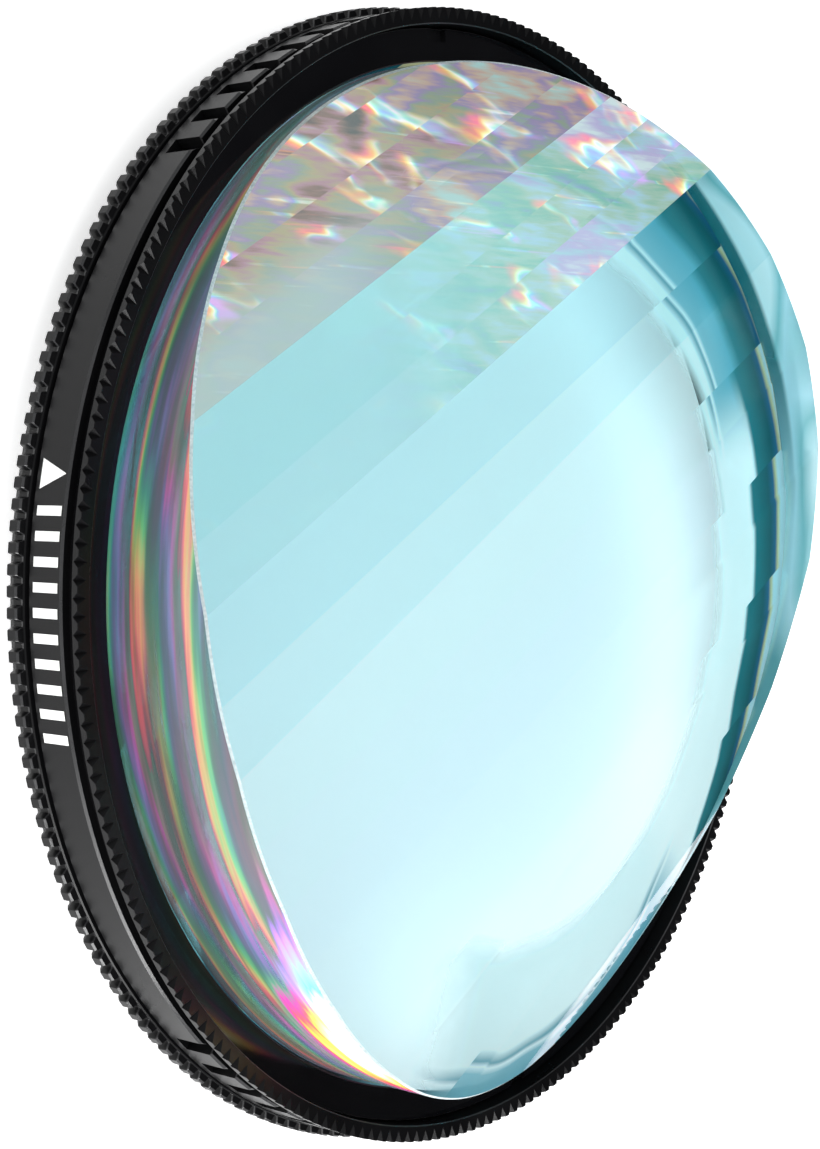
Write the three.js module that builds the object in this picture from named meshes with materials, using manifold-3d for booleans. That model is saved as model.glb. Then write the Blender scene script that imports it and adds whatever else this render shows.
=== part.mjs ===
// A rotating special-effect filter for a camera lens: a linear prism in a two-ring mount.
// Millimetres. The optical axis is +Z, the glass faces up, and the part rests on its threaded end at z = 0.
import * as THREE from 'three';
import { mergeVertices } from 'three/addons/utils/BufferGeometryUtils.js';
import Module from 'manifold-3d';

const wasm = await Module();
wasm.setup();

// ---- driving dimensions -------------------------------------------------------------------------

const ROUND = 60;                 // flats round a lathed ring
const HIDDEN_ROUND = 40;          // the same on the thin rings inside
const GLASS_ROUND = 72;
const GAP = 0.02;                 // play between pieces that are clamped together
const WELD = 0.05;                // how far shapes that become one solid reach into each other
const CLEAR = 1;                  // how far a shape reaches past what it is cut by

const frontPlane = 8.6;           // height of the inner edge of the front lip
const groundPlane = 0;

// crestAt and rootAt say where the outline turns, as shares of the pitch.
const thread = { crest: 41.0, root: 40.55, pitch: 0.75, turns: 3, crestAt: 0.4, rootAt: 0.9 };
const mountBore = 38.4;
const flange = { bottom: 2.6, top: 3.95, radius: 43.3 };
const seatRelief = { radius: 41.1, depth: 0.1 };   // corner relief, so that the shoulder seats flat
const coarseTeeth = { count: 200, tip: 43.85, bottom: 2.72, top: 3.83, land: 0.45, root: 0.25 };
const spigot = { radius: 41.45, top: 5.5 };

const snapWire = { radius: 41.6, height: 4.9, thickness: 0.6, opening: 16 };
const snapGroove = { depth: 0.3, mouth: 0.84, floor: 0.56 };

const band = { radius: 43.2, bottom: 4.2, top: 7.25, chamfer: 0.15 };
const counterbore = 41.75;
const shelf = { bore: 38.0, bottom: 5.75, top: 6.15 };
const cellBore = 42.0;
const undercut = { radius: 42.5, top: 8.2 };
const lip = { innerTop: 42.15, notchRoot: 42.85, tip: 43.2, crown: 0.17 };
const fineNotches = { count: 240, land: 0, root: 0 };   // plain V notches

// Each grip notch is a saw tooth: a slanting floor up to a steep wall on the side of its zone's middle.
const gripZones = [90, -90];      // middle of each grip zone, degrees round the axis
// gripTool shapes the cutter's three-cornered section, whose outer corners lie outside the band.
const gripNotch = { perZone: 22, pitch: 4.35, spread: 1.75, depth: 0.7, rearEnd: 4.97 };
const gripTool = { overshoot: 0.6, wallLean: 0.85, floorReach: 2.5, floorShare: 0.8, above: 0.2 };

const marks = { count: 10, first: 171.4, pitch: 2.12, width: 0.62, bottom: 4.7, top: 6.94, depth: 0.22 };
const pointer = { angle: 168.3, halfWidth: 0.95 };
const pocketPlay = 0.04;

const glass = { radius: 39.19, shoulder: 40.4, bottom: 6.35, shoulderTop: 6.85, peak: 17.67 };
const stripTurn = 28.73;          // direction of the strips round the axis, degrees from +X
const stripWidths = [9.45, 9.45, 9.45, 6.75, 6.0];
const stripSlopes = [3.0, 8.6, 16.3, 19.9, 25.0];

const retainer = { bore: 39.4, outer: 41.85, top: 7.34, lipBottom: 7.02, skirtBore: 40.65, skirtBottom: 6.2 };
const spannerSlot = { angle: 97, width: 1.7, length: 2, depth: 0.45 };

const gasket = { bore: 38.3, outer: 40.3 };
const seal = { bore: 39.45, outer: 40.35 };
const rearWasher = { bore: 41.95, outer: 42.75, bottom: 4.0, top: 4.15 };
const frontWasher = { bore: 38.7, outer: 41.3, bottom: 5.55, top: 5.7 };

// ---- materials ----------------------------------------------------------------------------------

function finish(color, roughness, metalness, extra = {}) {
  return new THREE.MeshStandardMaterial({ color, roughness, metalness, ...extra });
}

const anodised = { color: 0x17181a, roughness: 0.42, metalness: 0.9 };

// ---- helpers ------------------------------------------------------------------------------------

const radians = THREE.MathUtils.degToRad;

function toSolid(geometry) {
  const bare = geometry.index ? geometry.clone() : geometry;
  bare.deleteAttribute('normal');
  bare.deleteAttribute('uv');
  const merged = mergeVertices(bare, 1e-4);
  const index = merged.index.array;
  const triVerts = [];
  for (let k = 0; k < index.length; k += 3) {
    const [a, b, c] = [index[k], index[k + 1], index[k + 2]];
    // A lathe leaves slivers with no area where its outline meets the axis.
    if (a !== b && b !== c && c !== a) {
      triVerts.push(a, b, c);
    }
  }
  return new wasm.Manifold(new wasm.Mesh({
    numProp: 3,
    vertProperties: new Float32Array(merged.attributes.position.array),
    triVerts: new Uint32Array(triVerts),
  }));
}

function toGeometry(solid) {
  const mesh = solid.getMesh();
  const geometry = new THREE.BufferGeometry();
  geometry.setAttribute('position', new THREE.BufferAttribute(new Float32Array(mesh.vertProperties), 3));
  geometry.setIndex(new THREE.BufferAttribute(new Uint32Array(mesh.triVerts), 1));
  geometry.computeVertexNormals();
  return geometry;
}

// A ring or a disc turned about Z from an outline of [radius, height] points, listed anticlockwise.
// A ring's outline closes on itself, and a disc's starts and ends on the axis.
function turned(outline, segments = ROUND) {
  const closed = outline[0][0] === 0 ? outline : [...outline, outline[0]];
  const points = closed.map(([radius, height]) => new THREE.Vector2(radius, height));
  return new THREE.LatheGeometry(points, segments).rotateX(Math.PI / 2);
}

function thinRing(bore, outer, bottom, top) {
  return turned([[bore, bottom], [outer, bottom], [outer, top], [bore, top]], HIDDEN_ROUND);
}

function upright(shape, bottom, top) {
  const geometry = new THREE.ExtrudeGeometry(shape, { depth: top - bottom, bevelEnabled: false });
  return geometry.translate(0, 0, bottom);
}

// Teeth round a circle: land and root are the shares of the pitch that lie at the tip and root radius.
function toothedShape(teeth, tip, root, bore) {
  const pitch = (2 * Math.PI) / teeth.count;
  const points = [];
  const add = (radius, angle) => {
    points.push(new THREE.Vector2(radius * Math.cos(angle), radius * Math.sin(angle)));
  };
  for (let k = 0; k < teeth.count; k += 1) {
    const middle = k * pitch;
    if (teeth.land > 0) {
      add(tip, middle - (teeth.land * pitch) / 2);
      add(tip, middle + (teeth.land * pitch) / 2);
      add(root, middle + ((1 - teeth.root) * pitch) / 2);
      add(root, middle + ((1 + teeth.root) * pitch) / 2);
    } else {
      add(tip, middle);
      add(root, middle + pitch / 2);
    }
  }
  const shape = new THREE.Shape(points);
  const hole = new THREE.Path();
  hole.absarc(0, 0, bore, 0, 2 * Math.PI, true);
  shape.holes.push(new THREE.Path(hole.getPoints(ROUND / 4)));
  return shape;
}

// Moves a geometry made beside the origin out to a radius and round to an angle in degrees.
function placeRound(geometry, radius, angle) {
  return geometry.translate(radius, 0, 0).rotateZ(radians(angle));
}

const object = new THREE.Group();

function addPart(name, geometry, material) {
  const mesh = new THREE.Mesh(geometry, material);
  mesh.name = name;
  object.add(mesh);
}

// ---- rear ring: lens thread, coarse-toothed flange and the spigot the front ring turns on -------

function mountRing() {
  const threadOutline = [];
  for (let turn = 0; turn < thread.turns; turn += 1) {
    const start = groundPlane + turn * thread.pitch;
    threadOutline.push([thread.crest, start + thread.pitch * thread.crestAt]);
    threadOutline.push([thread.root, start + thread.pitch * thread.rootAt]);
  }
  const grooveFloor = spigot.radius - snapGroove.depth;
  const body = turned([
    [mountBore, groundPlane],
    [thread.root, groundPlane],
    ...threadOutline,
    [thread.root, flange.bottom + seatRelief.depth],
    [seatRelief.radius, flange.bottom + seatRelief.depth],
    [seatRelief.radius, flange.bottom],
    [flange.radius, flange.bottom],
    [flange.radius, flange.top],
    [spigot.radius, flange.top],
    [spigot.radius, snapWire.height - snapGroove.mouth / 2],
    [grooveFloor, snapWire.height - snapGroove.floor / 2],
    [grooveFloor, snapWire.height + snapGroove.floor / 2],
    [spigot.radius, snapWire.height + snapGroove.mouth / 2],
    [spigot.radius, spigot.top],
    [mountBore, spigot.top],
  ]);
  const rootRadius = flange.radius - WELD;
  const toothed = toothedShape(coarseTeeth, coarseTeeth.tip, rootRadius, spigot.radius + WELD);
  const teeth = upright(toothed, coarseTeeth.bottom, coarseTeeth.top);
  return toGeometry(toSolid(body).add(toSolid(teeth)));
}

addPart('mount_ring', mountRing(), finish(anodised.color, anodised.roughness, anodised.metalness));

// ---- what the front ring turns on ---------------------------------------------------------------

addPart(
  'slip_washer_rear',
  thinRing(rearWasher.bore, rearWasher.outer, rearWasher.bottom, rearWasher.top),
  finish(0x0d0d0e, 0.55, 0.0),
);

addPart(
  'slip_washer_front',
  thinRing(frontWasher.bore, frontWasher.outer, frontWasher.bottom, frontWasher.top),
  finish(0x202022, 0.55, 0.0),
);

class OpenRingCurve extends THREE.Curve {
  constructor(radius, height, opening) {
    super();
    this.radius = radius;
    this.height = height;
    this.opening = radians(opening);
  }

  getPoint(t, target = new THREE.Vector3()) {
    const angle = this.opening / 2 + t * (2 * Math.PI - this.opening);
    return target.set(this.radius * Math.cos(angle), this.radius * Math.sin(angle), this.height);
  }
}

function openRing() {
  const section = new THREE.Shape();
  section.absarc(0, 0, snapWire.thickness / 2, 0, 2 * Math.PI, false);
  const path = new OpenRingCurve(snapWire.radius, snapWire.height, snapWire.opening);
  return new THREE.ExtrudeGeometry(section, { steps: 50, curveSegments: 2, extrudePath: path });
}

addPart('snap_wire', openRing(), finish(0x9a9da1, 0.3, 1.0));

// ---- front ring: smooth band, grip notches, undercut and notched lip ----------------------------

// side is +1 where the notch lies anticlockwise of its zone's middle, and -1 on the other side.
function gripCutter(angle, side) {
  const halfWidth = (band.radius * radians(gripNotch.spread)) / 2;
  const { overshoot, wallLean, floorReach, floorShare, above } = gripTool;
  const section = new THREE.Shape([
    new THREE.Vector2(overshoot, -side * halfWidth),
    new THREE.Vector2(-gripNotch.depth, -side * halfWidth * wallLean),
    new THREE.Vector2(overshoot * floorShare, side * halfWidth * floorReach),
  ]);
  const cutter = upright(section, gripNotch.rearEnd, band.top + above);
  return placeRound(cutter, band.radius, angle);
}

function markBox(angle, play) {
  const height = marks.top - marks.bottom + 2 * play;
  const block = new THREE.BoxGeometry(marks.depth + play, marks.width + 2 * play, height);
  block.translate(-(marks.depth + play) / 2, 0, (marks.top + marks.bottom) / 2);
  return placeRound(block, band.radius + play / 2, angle);
}

function pointerPrism(play) {
  const half = pointer.halfWidth + 2 * play;
  const outline = new THREE.Shape([
    new THREE.Vector2(-half, marks.bottom - play),
    new THREE.Vector2(half, marks.bottom - play),
    new THREE.Vector2(0, marks.top + 2 * play),
  ]);
  const prism = new THREE.ExtrudeGeometry(outline, { depth: marks.depth + play, bevelEnabled: false });
  // The outline's height becomes +Z and the extrusion points inwards from the band.
  prism.rotateX(Math.PI / 2).rotateZ(Math.PI / 2).translate(-(marks.depth + play), 0, 0);
  return placeRound(prism, band.radius + play / 2, pointer.angle);
}

const markAngles = Array.from({ length: marks.count }, (_, k) => marks.first + k * marks.pitch);

function rotatingFrame() {
  const grooveFloor = counterbore + snapGroove.depth;
  const crownTop = frontPlane + lip.crown;
  const body = turned([
    [counterbore, band.bottom],
    [band.radius - band.chamfer, band.bottom],
    [band.radius, band.bottom + band.chamfer],
    [band.radius, band.top - band.chamfer],
    [band.radius - band.chamfer, band.top],
    [undercut.radius, band.top],
    [undercut.radius, undercut.top],
    [lip.notchRoot - WELD, undercut.top],
    [lip.notchRoot - WELD, crownTop],
    [lip.innerTop, crownTop],
    [cellBore, frontPlane],
    [cellBore, shelf.top],
    [shelf.bore, shelf.top],
    [shelf.bore, shelf.bottom],
    [counterbore, shelf.bottom],
    [counterbore, snapWire.height + snapGroove.mouth / 2],
    [grooveFloor, snapWire.height + snapGroove.floor / 2],
    [grooveFloor, snapWire.height - snapGroove.floor / 2],
    [counterbore, snapWire.height - snapGroove.mouth / 2],
  ]);
  const notched = toothedShape(fineNotches, lip.tip, lip.notchRoot, (cellBore + undercut.radius) / 2);
  let solid = toSolid(body).add(toSolid(upright(notched, undercut.top, crownTop)));
  for (const zone of gripZones) {
    for (let k = 0; k < gripNotch.perZone; k += 1) {
      const offset = (k - (gripNotch.perZone - 1) / 2) * gripNotch.pitch;
      solid = solid.subtract(toSolid(gripCutter(zone + offset, Math.sign(offset))));
    }
  }
  for (const angle of markAngles) {
    solid = solid.subtract(toSolid(markBox(angle, pocketPlay)));
  }
  solid = solid.subtract(toSolid(pointerPrism(pocketPlay)));
  return toGeometry(solid);
}

addPart('rotating_frame', rotatingFrame(), finish(anodised.color, anodised.roughness, anodised.metalness));

addPart('index_pointer', pointerPrism(0), finish(0xf2f2f0, 0.5, 0.0));

markAngles.forEach((angle, k) => {
  const name = `index_mark_${String(k + 1).padStart(2, '0')}`;
  addPart(name, markBox(angle, 0), finish(0xf2f2f0, 0.5, 0.0));
});

// ---- glass: a shouldered disc whose front is ground into parallel flat strips -------------------

function stripOutline() {
  const side = [];
  let across = 0;
  let height = glass.peak;
  stripWidths.forEach((width, k) => {
    across += width;
    height -= width * Math.tan(radians(stripSlopes[k]));
    side.push([across, height]);
  });
  const floor = glass.bottom - CLEAR;
  const outline = [[-across, floor], [across, floor]];
  outline.push(...side.slice().reverse());
  outline.push([0, glass.peak]);
  outline.push(...side.map(([x, y]) => [-x, y]));
  return new THREE.Shape(outline.map(([x, y]) => new THREE.Vector2(x, y)));
}

function prismGlass() {
  const disc = turned([
    [0, glass.bottom],
    [glass.shoulder, glass.bottom],
    [glass.shoulder, glass.shoulderTop],
    [glass.radius, glass.shoulderTop],
    [glass.radius, glass.peak + CLEAR],
    [0, glass.peak + CLEAR],
  ], GLASS_ROUND);
  const length = 3 * glass.radius;
  const strips = new THREE.ExtrudeGeometry(stripOutline(), { depth: length, bevelEnabled: false });
  // Across the strips is -Y, along them is +X, and the outline's height becomes +Z.
  strips.translate(0, 0, -length / 2).rotateX(Math.PI / 2).rotateZ(Math.PI / 2 + radians(stripTurn));
  return toGeometry(toSolid(disc).intersect(toSolid(strips)));
}

addPart('prism_glass', prismGlass(), finish(0xc4eef2, 0.03, 0.0, { transparent: true, opacity: 0.45 }));

// ---- what holds the glass in the front ring -----------------------------------------------------

addPart(
  'seat_gasket',
  thinRing(gasket.bore, gasket.outer, shelf.top + GAP, glass.bottom - GAP),
  finish(0x101010, 0.85, 0.0),
);

addPart(
  'front_seal',
  thinRing(seal.bore, seal.outer, glass.shoulderTop + GAP, retainer.lipBottom - GAP),
  finish(0x101010, 0.85, 0.0),
);

function retainingRing() {
  const body = turned([
    [retainer.skirtBore, retainer.skirtBottom],
    [retainer.outer, retainer.skirtBottom],
    [retainer.outer, retainer.top],
    [retainer.bore, retainer.top],
    [retainer.bore, retainer.lipBottom],
    [retainer.skirtBore, retainer.lipBottom],
  ]);
  let solid = toSolid(body);
  for (const angle of [spannerSlot.angle, spannerSlot.angle + 180]) {
    const slot = new THREE.BoxGeometry(spannerSlot.length, spannerSlot.width, 2 * spannerSlot.depth);
    slot.translate(0, 0, retainer.top);
    solid = solid.subtract(toSolid(placeRound(slot, retainer.outer, angle)));
  }
  return toGeometry(solid);
}

addPart('retaining_ring', retainingRing(), finish(0x0b0b0c, 0.25, 0.9));

export default object;
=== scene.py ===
"""A rotating linear-prism lens filter: the finished look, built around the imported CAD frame.

Profiles are (radius, height) points in millimetres, in the CAD frame: +Z is the optical axis and the
floor is z = 0. Angles are in radians unless a comment says degrees. Every mesh is scaled to metres when
it is made.
"""
import math

import bpy
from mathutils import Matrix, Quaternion, Vector


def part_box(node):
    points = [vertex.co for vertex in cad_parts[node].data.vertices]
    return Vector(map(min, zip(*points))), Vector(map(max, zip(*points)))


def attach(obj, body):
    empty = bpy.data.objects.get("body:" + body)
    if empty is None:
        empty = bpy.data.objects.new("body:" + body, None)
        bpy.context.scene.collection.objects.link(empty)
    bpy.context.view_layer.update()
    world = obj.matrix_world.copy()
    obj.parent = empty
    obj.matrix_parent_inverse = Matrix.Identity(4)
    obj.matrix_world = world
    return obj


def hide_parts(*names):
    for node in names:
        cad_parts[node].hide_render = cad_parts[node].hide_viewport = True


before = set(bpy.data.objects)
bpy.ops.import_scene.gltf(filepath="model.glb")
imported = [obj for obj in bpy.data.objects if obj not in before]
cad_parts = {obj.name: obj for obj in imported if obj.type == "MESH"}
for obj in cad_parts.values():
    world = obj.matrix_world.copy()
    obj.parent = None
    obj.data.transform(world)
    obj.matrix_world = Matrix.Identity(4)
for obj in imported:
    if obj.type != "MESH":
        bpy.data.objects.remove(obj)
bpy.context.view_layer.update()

MM = 0.001


def top_of(node):
    """Height of a CAD node's upper side, in millimetres."""
    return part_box(node)[1].z / MM


def bottom_of(node):
    """Height of a CAD node's lower side, in millimetres."""
    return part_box(node)[0].z / MM


def outer_of(node):
    """Outer radius of a round CAD node, in millimetres."""
    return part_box(node)[1].x / MM


# ---- driving dimensions ---------------------------------------------------------------------------

BAND_RADIUS = 43.2
BAND_BOTTOM = bottom_of("rotating_frame")
BAND_TOP = 7.25
BAND_CHAMFER = 0.15
COUNTERBORE = 41.75
SHELF_BORE = 38.0
SHELF_BOTTOM = 5.75
SHELF_TOP = 6.15
CELL_BORE = 42.0
UNDERCUT_RADIUS = 42.5
UNDERCUT_TOP = 8.2
UNDERCUT_EASE = 0.05
LIP_INNER = 8.6
LIP_RIDGE = top_of("rotating_frame")
LIP_SLOPE = (LIP_RIDGE - LIP_INNER) / (BAND_RADIUS - CELL_BORE)
LIP_EASE_ON_FACE = 0.08
LIP_EASE_IN_BORE = 0.06
RIDGE_ROUND = 0.03

FINE_NOTCHES = 240
FINE_PITCH = 2 * math.pi / FINE_NOTCHES
FINE_HALF_WIDTH = 0.37
FINE_HALF_ANGLE = FINE_HALF_WIDTH / BAND_RADIUS
FINE_DEPTH_ON_FACE = 0.8
FINE_DEPTH_ON_WALL = 0.4

# The grip angles are in degrees, and the corners of a notch are shares of its half spread.
GRIP_ZONES = (90.0, -90.0)
GRIP_PER_ZONE = 22
GRIP_PITCH = 4.35
GRIP_HALF_SPREAD = 0.875
GRIP_WALL_TOP = 0.97
GRIP_WALL_FOOT = 0.85
GRIP_FLOOR_END = 1.14
GRIP_DEPTH = 0.84
GRIP_REAR_END = 4.97
GRIP_REAR_STEP = 0.01

COARSE_TEETH = 200
TOOTH_PITCH = 2 * math.pi / COARSE_TEETH
TOOTH_TIP = outer_of("mount_ring")
TOOTH_ROOT = 43.3
TOOTH_BOTTOM = 2.72
TOOTH_TOP = 3.83
TOOTH_CHAMFER = 0.12
TOOTH_REAR_CHAMFER = 0.26
# Half of one tooth's outline: (share of the pitch from its middle, share of its height).
TOOTH_SHAPE = ((0.0, 1.0), (0.22, 1.0), (0.255, 0.93), (0.30, 0.6), (0.36, 0.12), (0.39, 0.02), (0.43, 0.0))

THREAD_TURNS = 3
THREAD_PITCH = 0.75
THREAD_CREST = 41.0
THREAD_ROOT = 40.55
THREAD_CREST_SPAN = (0.36, 0.46)      # the flat of the crest and of the root, as shares of the pitch
THREAD_ROOT_SPAN = (0.86, 0.94)
MOUNT_BORE = 38.4
FLANGE_BOTTOM = 2.6
FLANGE_TOP = 3.95
FLANGE_EASE = 0.08
FLANGE_CROWN = 0.03
SEAT_RELIEF_RADIUS = 41.1
SEAT_RELIEF_DEPTH = 0.1
SPIGOT = 41.45
SPIGOT_TOP = 5.5
SPIGOT_EASE = 0.06
WIRE_GROOVE_DEPTH = 0.3
WIRE_GROOVE_MOUTH = (4.48, 5.32)
WIRE_GROOVE_FLOOR = (4.62, 5.18)

GLASS_RADIUS = 39.19
GLASS_SHOULDER = outer_of("prism_glass")
GLASS_BOTTOM = bottom_of("prism_glass")
GLASS_SHOULDER_TOP = 6.85
GLASS_PEAK = top_of("prism_glass")
GLASS_CHAMFER = 0.14
GLASS_FOOT_EASE = 0.05
STRIP_TURN = math.radians(28.73)
STRIP_WIDTHS = (9.45, 9.45, 9.45, 6.75, 6.0)
STRIP_SLOPES = (3.0, 8.6, 16.3, 19.9, 25.0)       # degrees

RETAINER_TOP = top_of("retaining_ring")
RETAINER_OUTER = outer_of("retaining_ring")
RETAINER_BORE = 39.4
RETAINER_STEP_BORE = 40.65
RETAINER_STEP_BOTTOM = 7.02
RETAINER_BOTTOM = 6.2
RETAINER_OUTER_EASE = 0.06
RETAINER_INNER_EASE = 0.1
SPANNER_ANGLES = (97.0, 277.0)        # degrees
SPANNER_HALF_WIDTH = 0.85
SPANNER_LENGTH = 1.0
SPANNER_DEPTH = 0.45
SPANNER_WALL_LEAN = 0.001

SEAT_BORE = 38.3
SEAL_BORE = 39.45
REAR_WASHER_BORE = 41.95
FRONT_WASHER_BORE = 38.7
FLAT_RING_EASE = 0.03

WIRE_OPENING = math.radians(16.0)
WIRE_RADIUS = 41.6
WIRE_HEIGHT = 4.9
WIRE_THICKNESS = 0.6

MARK_COUNT = 10
MARK_FIRST = 171.4            # degrees, as are the pitch and the pointer's angle
MARK_PITCH = 2.12
MARK_HALF_WIDTH = 0.31
MARK_BOTTOM = 4.7
MARK_TOP = 6.94
MARK_RISE = 0.012             # how far the white paint stands proud of the band
MARK_SINK = 0.05              # how far it reaches into the band
POINTER_ANGLE = 168.3
POINTER_HALF_WIDTH = 0.95
POINTER_TIP_HALF_WIDTH = 0.02

FLOOR_HALF_WIDTH = 3000.0

# Steps of the meshes.
RING_STEPS = 240
FLAT_RING_STEPS = 192
GLASS_STEPS = 360
WIRE_SIDES = 16
PATCH_ROWS = 6
PATCH_COLUMNS = 8
TINY_ANGLE = math.radians(0.03)
SAME_PLACE = 1e-6
# Angles above which an edge is sharp, in degrees.
PLAIN_CREASE = 30.0
TOOTH_CREASE = 28.0
NOTCH_CREASE = 22.0
STRIP_CREASE = 12.0

# The camera looks at the front of the ring from the side of the marked arc, turned on its side.
CAMERA_AIM = Vector((-10.34, 0.84, 8.6)) * MM
CAMERA_DISTANCE = 148.42 * MM
CAMERA_ELEVATION = math.radians(38.385)
CAMERA_HEADING = math.radians(-4.796)
CAMERA_ROLL = math.radians(92.72)
CAMERA_LENS = 62.97
CAMERA_SENSOR = 36.0
CAMERA_NEAR = 0.005           # metres
CAMERA_FAR = 20.0


# ---- meshes ---------------------------------------------------------------------------------------

def add_object(name, points, faces, materials, face_materials, crease=PLAIN_CREASE):
    """A mesh object from points in millimetres, with one material index for each face."""
    mesh = bpy.data.meshes.new(name)
    mesh.from_pydata([(x * MM, y * MM, z * MM) for x, y, z in points], [], faces)
    for material in materials:
        mesh.materials.append(material)
    mesh.polygons.foreach_set("material_index", face_materials)
    mesh.shade_smooth()
    mesh.set_sharp_from_angle(angle=math.radians(crease))
    mesh.validate()
    made = bpy.data.objects.new(name, mesh)
    bpy.context.scene.collection.objects.link(made)
    return made


def around(radius, angle, height):
    """The point at a radius, an angle and a height."""
    return (radius * math.cos(angle), radius * math.sin(angle), height)


def swept_ring(name, angles, profile_at, materials, edge_rows=(), crease=PLAIN_CREASE):
    """A closed ring: profile_at(angle) gives the same number of points, anticlockwise, at every angle.
    The rows of faces in edge_rows, counted along the profile, take the second material."""
    points = []
    faces = []
    face_materials = []
    profiles = [profile_at(angle) for angle in angles]
    size = len(profiles[0])
    for angle, profile in zip(angles, profiles):
        points.extend(around(radius, angle, height) for radius, height in profile)
    count = len(angles)
    for column in range(count):
        here = column * size
        there = ((column + 1) % count) * size
        for row in range(size):
            above = (row + 1) % size
            faces.append((here + row, there + row, there + above, here + above))
            face_materials.append(1 if row in edge_rows else 0)
    return add_object(name, points, faces, materials, face_materials, crease)


def even_angles(count):
    return [2 * math.pi * k / count for k in range(count)]


def merged_angles(*groups):
    """All the angles of the groups in order within one turn, without near doubles."""
    turn = 2 * math.pi
    ordered = sorted(angle % turn for group in groups for angle in group)
    kept = []
    for angle in ordered:
        if not kept or angle - kept[-1] > TINY_ANGLE / 3:
            kept.append(angle)
    return kept


def turned_by(angle, middle):
    """The signed difference between two angles, within half a turn."""
    return (angle - middle + math.pi) % (2 * math.pi) - math.pi


def finish_piece(piece, body, slot, *nodes):
    """Says what a piece rides on and the CAD nodes that it replaces. The slot is not used."""
    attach(piece, body)
    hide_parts(*nodes)


# ---- material tools -------------------------------------------------------------------------------

TONE_SPAN = (0.3, 0.7)        # where in a noise the darker and the lighter tone begin
ROUGH_SPAN = (0.2, 0.8)       # where the smoother and the rougher finish begin


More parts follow.
